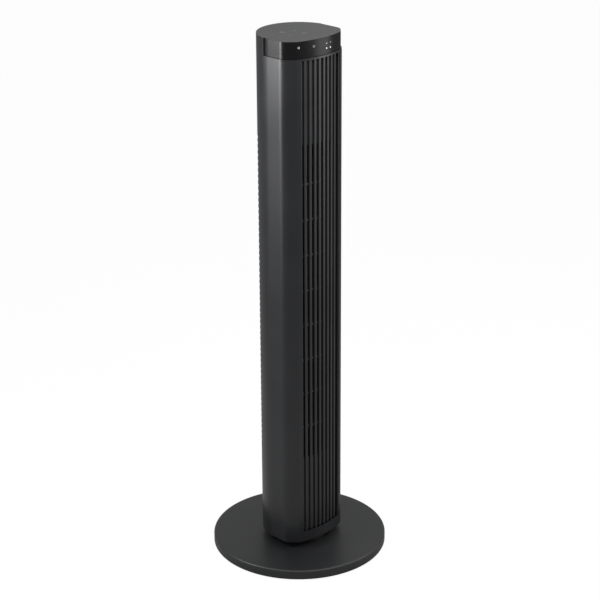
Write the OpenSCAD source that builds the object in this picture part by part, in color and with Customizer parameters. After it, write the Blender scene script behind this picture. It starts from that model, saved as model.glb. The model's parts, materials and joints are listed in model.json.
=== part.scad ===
// Oscillating tower fan: ballasted disc base, rotating tower, cross-flow blower wheel.
// The tower's front faces -Y, +X is to its side and +Z is up. The floor is at z = 0 and the
// oscillation axis is the Z axis. Millimetres.

/* [Overall] */
// Height from the floor to the top face
total_h = 915.5; // [912:0.5:930]
// Diameter of the base disc
base_d = 302; // [298:2:320]
// Height of the base disc's upper face
base_top = 19; // [18.5:0.5:20]
// Height of the head, from the top face down to the top of the front housing
head_h = 29; // [28:0.5:31]

/* [Tower outline] */
// Radius of the round back, also half the width over the flat sides
back_r = 67; // [67:0.5:68]
// Distance of the slanted front corners from the back's centre
corner_d = 70.2; // [69.8:0.2:70.6]
// Radius that blends each flat side into the slanted corner
side_blend = 22; // [18:1:26]
// Distance of the middle of the bowed front from the back's centre
front_d = 57.3; // [57:0.1:57.8]
// Radius of the bowed front
front_r = 145; // [142:1:150]
// How far the head stands in from the front housing
head_inset = 1.8; // [1:0.1:2]
// Thickness of the housing walls
wall = 2.5; // [2:0.1:2.8]

/* [Front grille] */
// Number of upright ribs
rib_count = 8; // [8:1:8]
// Distance from one rib to the next along the bowed front
rib_pitch = 9.85; // [9.7:0.05:9.95]
// Width of the groove between two ribs
groove_w = 4.7; // [4.2:0.1:5]
// Depth of the ribs
rib_depth = 7; // [6.5:0.5:7.5]
// How far the ribs stand back from the housing's bowed front
grille_recess = 3.4; // [3:0.1:3.8]
// Number of level bars behind the ribs
bar_count = 8; // [6:1:9]

/* [Rear grille] */
// Distance from one louvre to the next
louvre_pitch = 10.3; // [10:0.1:11]
// Height of each louvre
louvre_h = 5; // [4.5:0.1:5.5]

/* [Blower wheel] */
// Diameter of the wheel over its rings
wheel_d = 81; // [76:1:82]
// Number of blades
blade_count = 24; // [20:1:28]
// Number of sections between the rings
section_count = 9; // [8:1:10]

/* [Oscillation drive] */
// Teeth on the fixed gear
sun_teeth = 40; // [40:1:40]
// Teeth on the motor's pinion
pinion_teeth = 16; // [16:1:16]

/* [Hidden] */

$fn = 64;
fit = 0.05;            // radial clearance of a running fit
part_gap = 0.2;        // gap along a parting line

// Levels of the base
foot_h = 3;
plate_t = 2.5;
plate_top = foot_h + plate_t;
cover_t = 2.5;
base_r = base_d / 2;
foot_orbit = base_r - 22;
base_screw_orbit = base_r - 38;
post_screw_orbit = 34;
rim_round = 4;
cover_hole_r = 40.2;
cord_r = 3.1;
grommet_r = 5.2;
cord_z = foot_h + grommet_r;

// Levels of the pedestal and the turning joint
post_r = 30;
post_bore_r = 24;
flange_r = 50;
flange_top = base_top + 5;
glide_t = 2;
body_z = base_top + 9;
post_top = body_z + 18;
sleeve_r = 36;
gear_z = post_top + 3;
tooth_z = gear_z + 5.5;
tooth_h = 7;
gear_screw_orbit = 27;

// Levels of the tower
rib_z = body_z + 21;
head_z = total_h - head_h;
outlet_z = body_z + 160;
outlet_top = total_h - 172.5;
cover_z = total_h - 3;
rim_z = total_h - 0.8;
bar_pitch = (outlet_top - outlet_z) / (bar_count + 1);
seam_y = 8;
shell_y = -3.2;         // the back's centre, in front of the oscillation axis
duct_z = outlet_z - 5;
duct_t = 3;
roof_z = outlet_top + 5;
front_arc_y = front_r - front_d;
bow_c = [0, front_arc_y + shell_y];
window_w = 87.2;
window_top = head_z - 3;
grille_r = front_r - grille_recess;
groove_floor = 3;
bar_face = 4;
bar_back = 9;
bar_drop = 5.5;
bar_h = 3;
grille_side = window_w / 2 - part_gap;
edge_wall_t = 1.8;
edge_wall_y = [-52.8, -43.6];   // the walls along the grille's two long edges
rib_step = rib_pitch / grille_r * 180 / PI;
rib_half = (rib_pitch - groove_w) / 2 / grille_r * 180 / PI;
panel_half = asin(grille_side / (grille_r - groove_floor));
rear_span = 104;
rear_window_y = 35.6;
louvre_depth = 3.5;
louvre_first = duct_z + 5.5;
louvre_posts = 7;
post_margin = 1.5;
post_depth = 6;
handle_z = outlet_top + 57;
handle_w = 90;
handle_h = 38;
screw_x = 43;
screw_seat_y = 34;
screw_levels = [body_z + 42, body_z + 84, outlet_top + 37, outlet_top + 117];

// Blower
fan_y = 6;
wheel_z = duct_z + 7;
wheel_top = roof_z - 7;
wheel_r = wheel_d / 2;
blade_in_r = wheel_r - 9.5;
shaft_r = 3;
flange_z = duct_z - duct_t - 8;
can_r = 42;
can_h = 38;
can_z = flange_z - can_h;
mount_orbit = 47;

// Oscillation drive
gear_m = 1;
sun_r = gear_m * sun_teeth / 2;
pinion_r = gear_m * pinion_teeth / 2;
drive_y = sun_r + pinion_r;
pinion_shaft_r = 2.5;
bracket_z = tooth_z + tooth_h + 0.5;
bracket_t = 2;
bracket_post = [32, 36];
board_z = body_z + 64;
board_post = [33, 26];
board_size = [96, 62];
wire = [52, -20];

black = "#232527";
gloss_black = "#0c0d0e";
satin_grey = "#3a3c3f";
steel = "#a8abb0";
board_green = "#1f5a3a";

// ---------------------------------------------------------------- shared outlines

// Points of an arc about c from angle a0 to a1
function arc(c, r, a0, a1, n) =
    [for (i = [0:n]) let (a = a0 + (a1 - a0) * i / n) c + r * [cos(a), sin(a)]];

// Centre of a fillet of radius r between the flat side and the slanted corner
function side_fillet(d_side, d_corner, r) =
    [d_side - r, (d_side - r) - (d_corner - r) * sqrt(2)];

// Centre of a fillet of radius r between the slanted corner and the bowed front
function front_fillet(d, r_front) =
    let (n = [1, -1] / sqrt(2), t = [-1, -1] / sqrt(2),
        k = front_arc_y / sqrt(2),
        s = -k + sqrt(k * k - (d * d + sqrt(2) * d * front_arc_y
            + front_arc_y * front_arc_y - r_front * r_front)))
    d * n + s * t;

// Right half of the tower's outline, moved inwards by i, from the back to the front
function half_outline(i) =
    let (f1 = max(side_blend - i, 1), f2 = max(3 - i, 0.4),
        c1 = side_fillet(back_r - i, corner_d - i, f1),
        c2 = front_fillet(corner_d - i - f2, front_r - i - f2),
        v = c2 - [0, front_arc_y], a2 = atan2(v[1], v[0]))
    concat(arc([0, 0], back_r - i, 90, 0, 20), arc(c1, f1, 0, -45, 6),
        arc(c2, f2, -45, a2, 3), arc([0, front_arc_y], front_r - i, a2, -90, 8));

// The tower's outline in plan, moved inwards by i
module outline(i = 0) {
    half = half_outline(i);
    n = len(half);
    translate([0, shell_y])
        polygon(concat(half, [for (k = [1:n - 2]) [-half[n - 1 - k][0], half[n - 1 - k][1]]]));
}

// The space inside the housings, clear of the front grille
module inner_plan() {
    difference() {
        outline(wall + part_gap);
        difference() {
            translate([-window_w / 2 - part_gap, -80]) square([window_w + 2 * part_gap, 37.4]);
            translate(bow_c) circle(r = grille_r - rib_depth - part_gap, $fn = 180);
        }
    }
}

// Everything in front of the parting line between the two housings
module front_zone() {
    translate([-100, -100]) square([200, 100 + seam_y - part_gap / 2]);
}

// Everything behind that parting line
module rear_zone() {
    translate([-100, seam_y + part_gap / 2]) square([200, 100]);
}

// A curved strip about c between two radii
module strip(c, r_in, r_out, a0, a1, n = 8) {
    polygon(concat(arc(c, r_out, a0, a1, n), arc(c, r_in, a1, a0, n)));
}

// A curved strip that follows the grille's bow, depth_out to depth_in behind the ribs' faces
module grille_strip(depth_out, depth_in, a0 = -panel_half, a1 = panel_half, n = 12) {
    strip(bow_c, grille_r - depth_in, grille_r - depth_out, -90 + a0, -90 + a1, n);
}

// A tube standing on z = 0
module tube(r_out, r_in, h) {
    difference() {
        cylinder(r = r_out, h = h);
        translate([0, 0, -1]) cylinder(r = r_in, h = h + 2);
    }
}

// A screw pointing up, with the underside of its head at z = 0
module screw(r, length, head_r, head_h) {
    cylinder(r = r, h = length);
    translate([0, 0, -head_h]) cylinder(r = head_r, h = head_h);
}

// Copies of a child on a circle
module around(count, orbit, phase = 0) {
    for (k = [0:count - 1]) rotate(phase + k * 360 / count) translate([orbit, 0, 0]) children();
}

// ---------------------------------------------------------------- base

module base_cover() color(black)
    difference() {
        union() {
            rotate_extrude($fn = 180)
                polygon(concat(
                    [[cover_hole_r, base_top - cover_t],
                     [base_r - cover_t, base_top - cover_t],
                     [base_r - cover_t, foot_h - 0.5], [base_r - 0.6, foot_h - 0.5],
                     [base_r, foot_h + 0.1]],
                    arc([base_r - rim_round, base_top - rim_round], rim_round, 0, 90, 6),
                    [[cover_hole_r, base_top]]));
            around(6, base_screw_orbit, 30) translate([0, 0, plate_top])
                cylinder(r = 4, h = base_top - 1 - plate_top);
        }
        around(6, base_screw_orbit, 30) translate([0, 0, plate_top - 1])
            cylinder(r = 1.6, h = base_top - cover_t - plate_top);
        translate([0, base_r - 20, cord_z]) rotate([-90, 0, 0])
            cylinder(r = grommet_r - 0.5, h = 40);
    }

module base_plate() color(black)
    difference() {
        translate([0, 0, foot_h]) cylinder(r = base_r - 3, h = plate_t, $fn = 180);
        translate([0, 0, foot_h - 1]) {
            cylinder(r = post_bore_r, h = plate_t + 2);
            around(6, foot_orbit) cylinder(r = 3, h = plate_t + 2);
            around(6, base_screw_orbit, 30) cylinder(r = 1.8, h = plate_t + 2);
            around(4, post_screw_orbit, 45) cylinder(r = 1.8, h = plate_t + 2);
            translate([-7, base_r - 12, 0]) cube([14, 20, plate_t + 2]);
        }
    }

module ballast_plate() color(steel)
    translate([0, 0, plate_top]) tube(base_screw_orbit - 8, 60, 7);

module rubber_feet() color("#111111")
    around(6, foot_orbit) {
        cylinder(r = 9, h = foot_h);
        cylinder(r = 2.9, h = foot_h + plate_t + 1);
    }

module base_screws() color(steel)
    translate([0, 0, foot_h]) {
        around(6, base_screw_orbit, 30) screw(1.5, 9, 3.2, 1.8);
        around(4, post_screw_orbit, 45) screw(1.5, 11, 3.2, 1.8);
    }

module cord_grommet() color("#151515")
    translate([0, base_r - 8, cord_z]) rotate([-90, 0, 0]) difference() {
        union() {
            cylinder(r = grommet_r - 0.6, h = 7.4);
            cylinder(r = grommet_r, h = 4);
        }
        translate([0, 0, -1]) cylinder(r = cord_r, h = 10);
    }

module pedestal() color(black)
    difference() {
        union() {
            translate([0, 0, plate_top]) cylinder(r = 40, h = base_top - plate_top, $fn = 96);
            translate([0, 0, base_top]) cylinder(r = flange_r, h = flange_top - base_top, $fn = 120);
            translate([0, 0, flange_top])
                cylinder(r = post_r, h = post_top - flange_top, $fn = 96);
        }
        translate([0, 0, plate_top - 1]) cylinder(r = post_bore_r, h = post_top);
        translate([0, 0, plate_top - 1]) around(4, post_screw_orbit, 45) cylinder(r = 1.6, h = 10);
        translate([0, 0, post_top - 9]) around(3, gear_screw_orbit) cylinder(r = 1.3, h = 10);
    }

module glide_ring() color("#d8d6cf")
    translate([0, 0, flange_top]) tube(flange_r - 2, post_r + 0.6, glide_t);

module retaining_ring() color(steel)
    difference() {
        translate([0, 0, post_top]) tube(sleeve_r, post_bore_r, gear_z - post_top);
        translate([0, 0, post_top - 1]) around(3, gear_screw_orbit) cylinder(r = 1.3, h = 6);
    }

// ---------------------------------------------------------------- oscillation gears

// Polar angle of an involute at roll t, in degrees, with t in radians
function involute_angle(t) = (t - atan(t) * PI / 180) * 180 / PI;

function tooth(r_pitch, teeth, backlash) =
    let (rb = r_pitch * cos(20), ra = r_pitch + 0.9 * gear_m, rf = r_pitch - 1.25 * gear_m,
        roll = sqrt(pow(ra / rb, 2) - 1), r0 = max(rb, rf),
        roll0 = sqrt(max(pow(r0 / rb, 2) - 1, 0)),
        half = 90 / teeth + involute_angle(tan(20)) - backlash / r_pitch * 90 / PI,
        up = [for (i = [0:4]) let (t = roll0 + (roll - roll0) * i / 4)
            [rb * sqrt(1 + t * t), half - involute_angle(t)]])
    concat([[rf, -half]], [for (p = up) [p[0], -p[1]]],
        [for (i = [4:-1:0]) up[i]], [[rf, half]]);

module gear_outline(r_pitch, teeth) {
    one = tooth(r_pitch, teeth, 0.25);
    polygon([for (k = [0:teeth - 1], p = one)
        let (a = p[1] + k * 360 / teeth) p[0] * [cos(a), sin(a)]]);
}

module sun_gear() color("#e6e1d2")
    difference() {
        union() {
            translate([0, 0, gear_z]) cylinder(r = post_r - 0.5, h = 3);
            translate([0, 0, gear_z + 3]) cylinder(r = sun_r - 2.5, h = tooth_z - gear_z - 3);
            translate([0, 0, tooth_z]) linear_extrude(tooth_h) gear_outline(sun_r, sun_teeth);
        }
        translate([0, 0, gear_z - 1]) cylinder(r = 14, h = 20);
        translate([0, 0, gear_z - 1]) around(3, gear_screw_orbit) cylinder(r = 1.3, h = 6);
    }

module gear_screws() color(steel)
    translate([0, 0, gear_z + 3])
        around(3, gear_screw_orbit) mirror([0, 0, 1]) screw(1.2, 13, 2.2, 1.6);

module drive_pinion() color("#e6e1d2")
    translate([0, drive_y, 0]) {
        translate([0, 0, tooth_z + 0.5]) linear_extrude(tooth_h - 1)
            rotate(-90 + 180 / pinion_teeth) gear_outline(pinion_r, pinion_teeth);
        translate([0, 0, tooth_z + 1]) cylinder(r = pinion_shaft_r, h = bracket_z + 14 - tooth_z);
    }

module oscillation_motor() color(steel)
    translate([0, drive_y, 0]) difference() {
        union() {
            translate([0, 0, bracket_z + bracket_t]) cylinder(r = 14, h = 19);
            translate([0, 0, bracket_z + 0.2]) cylinder(r = 4.5, h = 3);
        }
        translate([0, 0, bracket_z - 1]) cylinder(r = pinion_shaft_r + fit, h = 17);
    }

module oscillation_bracket() color(steel)
    difference() {
        translate([0, 0, bracket_z]) linear_extrude(bracket_t) difference() {
            union() {
                translate([0, drive_y]) circle(r = 16);
                translate([-bracket_post[0], bracket_post[1] - 4.5])
                    square([2 * bracket_post[0], 9]);
                for (s = [-1, 1]) translate([s * bracket_post[0], bracket_post[1]]) circle(r = 4.5);
            }
            translate([0, drive_y]) circle(r = 4.6);
        }
        for (s = [-1, 1]) translate([s * bracket_post[0], bracket_post[1], bracket_z - 1])
            cylinder(r = 1.6, h = bracket_t + 2);
    }

// ---------------------------------------------------------------- tower shells

// Post that stands on the bottom cover
module floor_post(p, top) {
    translate([p[0], p[1], body_z + 2]) cylinder(r = 4, h = top - body_z - 2, $fn = 32);
}

module bottom_cover() color(black)
    difference() {
        union() {
            translate([0, 0, body_z + 0.5]) linear_extrude(3) outline(wall + part_gap);
            translate([0, 0, flange_top + glide_t + 0.3])
                cylinder(r = sleeve_r, h = post_top - 0.3 - flange_top - glide_t - 0.3, $fn = 96);
            for (s = [-1, 1]) {
                floor_post([s * bracket_post[0], bracket_post[1]], bracket_z);
                for (t = [-1, 1]) floor_post([s * board_post[0], t * board_post[1]], board_z);
            }
        }
        translate([0, 0, body_z - 10]) cylinder(r = post_r + fit, h = 40, $fn = 96);
    }

module front_housing() color(black) {
    difference() {
        translate([0, 0, body_z]) linear_extrude(head_z - body_z) difference() {
            intersection() {
                outline();
                front_zone();
            }
            outline(wall);
        }
        translate([-window_w / 2, -80, rib_z]) cube([window_w, 60, window_top - rib_z]);
    }
    for (z = screw_levels, s = [-1, 1]) translate([s * screw_x, seam_y - part_gap / 2, z]) {
        rotate([90, 0, 0]) tube(5, 1.7, 22);
        translate([s * 13.5, -11, 0]) cube([18, 22, 3], center = true);
    }
}

module rear_housing() color(black)
    difference() {
        union() {
            translate([0, 0, body_z]) linear_extrude(rim_z - body_z) difference() {
                intersection() {
                    outline();
                    rear_zone();
                }
                outline(wall);
            }
            intersection() {
                for (z = screw_levels, s = [-1, 1])
                    translate([s * screw_x, seam_y + part_gap / 2, z]) rotate([-90, 0, 0])
                        cylinder(r = 5, h = 50);
                translate([0, shell_y, 0])
                    cylinder(r = back_r - wall / 2, h = total_h, $fn = 120);
            }
        }
        for (z = screw_levels, s = [-1, 1]) translate([s * screw_x, 0, z]) rotate([-90, 0, 0]) {
            cylinder(r = 1.8, h = 60);
            translate([0, 0, screw_seat_y]) cylinder(r = 3.9, h = 30);
        }
        translate([-100, rear_window_y, duct_z + 3]) cube([200, 100, roof_z - duct_z - 5]);
        translate([-handle_w / 2, 30, handle_z]) cube([handle_w, 60, handle_h]);
    }

module housing_screws() color(steel)
    for (z = screw_levels, s = [-1, 1])
        translate([s * screw_x, screw_seat_y, z]) rotate([90, 0, 0]) screw(1.6, 40, 3.5, 2.4);

module front_grille() color(black)
    union() {
        for (k = [0:rib_count - 1]) let (a = (k - (rib_count - 1) / 2) * rib_step)
            translate([0, 0, rib_z]) linear_extrude(window_top - rib_z - 0.4)
                grille_strip(0, rib_depth, a - rib_half, a + rib_half, 2);
        translate([0, 0, rib_z + part_gap]) linear_extrude(outlet_z - rib_z)
            grille_strip(groove_floor, rib_depth);
        translate([0, 0, outlet_top]) linear_extrude(window_top - outlet_top - 0.4)
            grille_strip(groove_floor, rib_depth);
        for (s = [-1, 1]) translate([0, 0, rib_z + part_gap])
            linear_extrude(window_top - rib_z - 2 * part_gap) {
                grille_strip(groove_floor, rib_depth, s * rib_count / 2 * rib_step,
                    s * panel_half, 3);
                translate([s * (grille_side - edge_wall_t / 2), (edge_wall_y[0] + edge_wall_y[1]) / 2])
                    square([edge_wall_t, edge_wall_y[1] - edge_wall_y[0]], center = true);
            }
        for (k = [1:bar_count]) translate([0, 0, outlet_z + k * bar_pitch - bar_drop])
            linear_extrude(bar_h) grille_strip(bar_face, bar_back);
    }

module rear_grille() color(black)
    translate([0, shell_y, 0]) {
        rows = floor((roof_z - duct_z - 8) / louvre_pitch);
        start = (180 - rear_span) / 2;
        post_step = (rear_span - 2 * post_margin) / (louvre_posts - 1);
        for (k = [0:rows - 1]) translate([0, 0, louvre_first + k * louvre_pitch])
            rotate(start) rotate_extrude(angle = rear_span, $fn = 120)
                translate([back_r - louvre_depth, 0]) square([louvre_depth, louvre_h]);
        for (k = [0:louvre_posts - 1]) translate([0, 0, duct_z + 4])
            linear_extrude(roof_z - duct_z - 7) rotate(start + post_margin + k * post_step)
                translate([back_r - post_depth, -1.1]) square([3.6, 2.2]);
    }

module carry_handle_cup() color(black)
    difference() {
        intersection() {
            translate([-handle_w / 2 - 2.5, 38.5, handle_z - 2.5])
                cube([handle_w + 5, 40, handle_h + 5]);
            translate([0, shell_y, 0]) cylinder(r = back_r - wall - 0.1, h = total_h, $fn = 120);
        }
        translate([-handle_w / 2, 41, handle_z]) cube([handle_w, 40, handle_h]);
    }

module display_window() color(gloss_black)
    translate([0, 0, head_z + 0.1]) linear_extrude(rim_z - head_z - 0.1) difference() {
        intersection() {
            outline(head_inset);
            front_zone();
        }
        outline(head_inset + 2.2);
    }

module top_cover() color(satin_grey)
    union() {
        translate([0, 0, rim_z]) linear_extrude(total_h - rim_z) {
            intersection() {
                outline(head_inset);
                front_zone();
            }
            intersection() {
                outline();
                translate([-100, seam_y - part_gap]) square([200, 100]);
            }
        }
        translate([0, 0, cover_z]) linear_extrude(total_h - cover_z) outline(head_inset + 2.4);
    }

module head_frame() color(black)
    difference() {
        union() {
            translate([0, 0, head_z - 3.2]) linear_extrude(3) outline(wall + head_inset + 0.8);
            for (x = [-34, 34], y = [-22, 34]) translate([x, y, head_z - 1])
                cylinder(r = 3.5, h = 13, $fn = 32);
        }
        translate([wire[0], wire[1], head_z - 5]) cylinder(r = 3.2, h = 8);
    }

// ---------------------------------------------------------------- electronics

module display_board() color(board_green) {
    translate([-36, -46, head_z + 2]) cube([72, 1.6, 20]);
    for (x = [-30, -10, 10, 24]) translate([x, -47.6, head_z + 8]) cube([7, 1.6, 9]);
}

module control_board() color(board_green) {
    translate([0, 4, head_z + 12]) cylinder(r = 47, h = 1.6);
    translate([-14, 24, head_z + 13.6]) cube([12, 12, 1.4]);
}

module touch_springs() color(steel)
    for (a = [0:90:270]) translate([16 * cos(a), 16 * sin(a), head_z + 13.6])
        tube(4, 3.3, cover_z - head_z - 13.6);

module power_board() color(board_green)
    translate([0, 1, board_z + 0.8]) cube([board_size[0], board_size[1], 1.6], center = true);

module power_components() color("#6b5a2a")
    translate([0, 0, board_z + 1.6]) {
        translate([-37, -8, 0]) cube([26, 30, 22]);
        translate([-4, -12, 0]) cylinder(r = 8, h = 20, $fn = 32);
        translate([16, -12, 0]) cylinder(r = 6, h = 16, $fn = 32);
        translate([24, 4, 0]) cube([14, 20, 12]);
        translate([-6, 8, 0]) cube([18, 12, 9]);
    }

module wire_harness() color("#202020")
    translate([wire[0], wire[1], board_z + 5]) {
        cylinder(r = 2.2, h = head_z + 8 - board_z - 5);
        sphere(r = 2.2);
        rotate([0, -90, 0]) cylinder(r = 2.2, h = 7);
        translate([-14, -3.5, -3.4]) cube([8, 7, 7]);
    }

// ---------------------------------------------------------------- air duct

// Plate across the tower with a round hole on the wheel's axis
module duct_plate(z, hole_r) {
    difference() {
        translate([0, 0, z]) linear_extrude(duct_t) inner_plan();
        translate([0, fan_y, z - 1]) cylinder(r = hole_r, h = duct_t + 2);
        translate([wire[0], wire[1], z - 1]) cylinder(r = 3.2, h = duct_t + 2);
    }
}

module lower_duct_plate() color(black)
    difference() {
        duct_plate(duct_z - duct_t, 16);
        translate([0, fan_y, duct_z - duct_t - 1])
            around(4, mount_orbit, 45) cylinder(r = 2.2, h = duct_t + 2);
    }

module upper_duct_plate() color(black)
    union() {
        duct_plate(roof_z, 14);
        translate([0, fan_y, roof_z]) tube(17, 14, 11);
    }

module scroll_wall() color(satin_grey) {
    rise = 10;
    first = 130;
    last = 215;
    spiral = function (a, extra) let (r = wheel_r + 3 + extra + rise * (a - first) / (last - first))
        [r * cos(a), fan_y + r * sin(a)];
    steps = [0:14];
    end = [-44, -42];
    translate([0, 0, duct_z]) linear_extrude(roof_z - duct_z)
        polygon(concat(
            [for (k = steps) spiral(first + (last - first) * k / 14, 0)], [end],
            [end - [2.2, 0]],
            [for (k = steps) spiral(last - (last - first) * k / 14, 2.2)]));
}

module vortex_tongue() color(satin_grey)
    translate([0, 0, duct_z]) linear_extrude(roof_z - duct_z) union() {
        translate([42.8, -42]) square([2.2, 36]);
        strip([0, fan_y], wheel_r + 3.5, wheel_r + 5.7, -22, 15, 6);
    }

// ---------------------------------------------------------------- fan motor

module motor_shell() color(steel)
    translate([0, fan_y, 0]) difference() {
        union() {
            translate([0, 0, can_z]) cylinder(r = can_r, h = can_h);
            translate([0, 0, can_z - 4]) cylinder(r = 10, h = can_h + 8);
            translate([0, 0, flange_z - 3]) around(4, mount_orbit, 45) cylinder(r = 6, h = 3);
        }
        translate([0, 0, can_z + 1.6]) cylinder(r = can_r - 1.6, h = can_h - 3.2);
        translate([0, 0, can_z - 6]) cylinder(r = shaft_r + fit, h = can_h + 20);
        translate([0, 0, flange_z - 5]) around(4, mount_orbit, 45) cylinder(r = 2.1, h = 10);
    }

module motor_stator() color("#8c5a3c")
    translate([0, fan_y, can_z + 7]) tube(can_r - 2, 24, can_h - 14);

module motor_rotor() color(steel)
    translate([0, fan_y, 0]) {
        translate([0, 0, can_z + 8]) cylinder(r = 23.4, h = can_h - 16);
        translate([0, 0, can_z - 6]) cylinder(r = shaft_r, h = wheel_z + 10 - can_z + 6);
    }

module motor_grommets() color("#151515")
    translate([0, fan_y, flange_z]) around(4, mount_orbit, 45) tube(5, 2.1, 8);

module motor_screws() color(steel)
    translate([0, fan_y, flange_z - 3]) around(4, mount_orbit, 45) screw(2, 14, 3.8, 2.6);

// ---------------------------------------------------------------- blower wheel

module impeller_hub() color("#1b1b1b")
    translate([0, fan_y, 0]) difference() {
        translate([0, 0, wheel_z - 5]) cylinder(r = 12, h = 20);
        translate([0, 0, wheel_z - 6]) cylinder(r = shaft_r + 0.02, h = 22);
        translate([0, 0, wheel_z + 10]) rotate([0, 90, 0]) cylinder(r = 1.6, h = 20);
    }

module hub_setscrew() color(steel)
    translate([shaft_r + 0.1, fan_y, wheel_z + 10]) rotate([0, 90, 0]) cylinder(r = 1.5, h = 8);

// One curved blade in plan
module blade() {
    bow = 1.6;
    inner = [for (k = [0:4]) let (u = k / 4)
        [blade_in_r + (wheel_r - 0.8 - blade_in_r) * u, bow * 4 * u * (1 - u)]];
    polygon(concat(inner, [for (k = [4:-1:0]) inner[k] + [0, 1.1]]));
}

module blower_wheel() color("#2b2d30")
    translate([0, fan_y, 0]) union() {
        ring_t = 1.8;
        step = (wheel_top - wheel_z - ring_t) / section_count;
        translate([0, 0, wheel_z]) tube(wheel_r, 12, 3);
        translate([0, 0, wheel_top - 3]) tube(wheel_r, shaft_r + 0.02, 3);
        for (k = [1:section_count - 1]) translate([0, 0, wheel_z + k * step])
            tube(wheel_r, blade_in_r - 1, ring_t);
        translate([0, 0, wheel_z + 1]) linear_extrude(wheel_top - wheel_z - 2)
            for (k = [0:blade_count - 1]) rotate(k * 360 / blade_count + 14) blade();
    }

module wheel_pin() color(steel)
    translate([0, fan_y, 0]) {
        translate([0, 0, wheel_top - 12]) cylinder(r = shaft_r, h = roof_z + 10.5 - wheel_top + 12);
        translate([0, 0, wheel_top - 6]) cylinder(r = 9, h = 3);
    }

module top_bearing() color("#a77b3a")
    translate([0, fan_y, roof_z - 1]) tube(6, shaft_r + fit, 12);

module bearing_mount() color("#151515")
    translate([0, fan_y, roof_z]) tube(14, 6, 10.5);

// ---------------------------------------------------------------- assembly

base_cover();
base_plate();
ballast_plate();
rubber_feet();
base_screws();
cord_grommet();
pedestal();
glide_ring();
retaining_ring();
sun_gear();
gear_screws();
bottom_cover();
front_housing();
rear_housing();
front_grille();
rear_grille();
carry_handle_cup();
display_window();
top_cover();
housing_screws();
head_frame();
display_board();
control_board();
touch_springs();
power_board();
power_components();
wire_harness();
lower_duct_plate();
upper_duct_plate();
scroll_wall();
vortex_tongue();
oscillation_bracket();
oscillation_motor();
drive_pinion();
motor_shell();
motor_stator();
motor_rotor();
motor_grommets();
motor_screws();
impeller_hub();
hub_setscrew();
blower_wheel();
wheel_pin();
top_bearing();
bearing_mount();
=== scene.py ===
import json
import math

import bmesh
import bpy
from mathutils import Matrix, Vector


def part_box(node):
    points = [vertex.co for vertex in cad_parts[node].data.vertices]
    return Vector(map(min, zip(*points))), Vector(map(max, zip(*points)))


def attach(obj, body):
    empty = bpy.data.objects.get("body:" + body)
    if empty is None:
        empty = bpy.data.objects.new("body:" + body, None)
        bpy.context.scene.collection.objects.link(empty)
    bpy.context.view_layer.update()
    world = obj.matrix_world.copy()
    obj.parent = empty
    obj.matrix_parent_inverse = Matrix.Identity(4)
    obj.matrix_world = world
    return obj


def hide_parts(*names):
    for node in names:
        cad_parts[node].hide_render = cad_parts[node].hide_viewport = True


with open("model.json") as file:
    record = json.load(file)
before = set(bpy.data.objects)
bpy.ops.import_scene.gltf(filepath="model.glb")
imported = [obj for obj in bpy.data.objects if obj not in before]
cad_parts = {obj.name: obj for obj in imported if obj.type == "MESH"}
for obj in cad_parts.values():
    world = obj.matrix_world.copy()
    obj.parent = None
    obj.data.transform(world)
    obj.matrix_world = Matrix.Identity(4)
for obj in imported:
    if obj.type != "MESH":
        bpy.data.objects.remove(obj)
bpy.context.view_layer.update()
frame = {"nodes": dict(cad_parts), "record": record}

# Oscillating tower fan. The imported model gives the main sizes, and the others are named below.
# Everything is in metres, with the outlet facing -Y, +Z up and the floor at z = 0.

MM = 0.001


def mm(*values):
    """Millimetres to metres."""
    scaled = tuple(v * MM for v in values)
    return scaled if len(scaled) > 1 else scaled[0]


# ------------------------------------------------------------------ sizes, read from the frame

BASE_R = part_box("base_cover")[1].x
BASE_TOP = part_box("base_cover")[1].z
BASE_SKIRT_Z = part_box("base_cover")[0].z
HOUSING_LOW, HOUSING_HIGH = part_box("front_housing")
BODY_Z, HEAD_Z = HOUSING_LOW.z, HOUSING_HIGH.z
BACK_R = HOUSING_HIGH.x
PART_GAP = mm(0.2)
SEAM_Y = HOUSING_HIGH.y + PART_GAP / 2
TOTAL_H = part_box("top_cover")[1].z
RIM_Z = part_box("display_window")[1].z
HEAD_INSET = BACK_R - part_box("display_window")[1].x
GRILLE_LOW, GRILLE_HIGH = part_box("front_grille")
RIB_Z = GRILLE_LOW.z
RIB_TOP = GRILLE_HIGH.z
DUCT_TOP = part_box("lower_duct_plate")[1].z
ROOF_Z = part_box("upper_duct_plate")[0].z
OUTLET_Z = DUCT_TOP + mm(5)
OUTLET_TOP = ROOF_Z - mm(5)
CUP_LOW, CUP_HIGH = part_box("carry_handle_cup")

# The rest of the tower's outline, as the frame's shells have it
SHELL_Y = mm(-3.2)
FRONT_D = SHELL_Y - HOUSING_LOW.y
CORNER_D = mm(70.2)
SIDE_BLEND = mm(22)
FRONT_FILLET = mm(3)
FRONT_R = mm(145)
WALL = mm(2.5)
FRONT_ARC_Y = FRONT_R - FRONT_D
BOW = Vector((0, FRONT_ARC_Y + SHELL_Y))
WINDOW_HALF = mm(43.6)
WINDOW_TOP = HEAD_Z - mm(3)
FOOT_R = mm(4)
# How far the touch marks stand above the top plate
MARK_RISE = mm(0.05)

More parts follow.
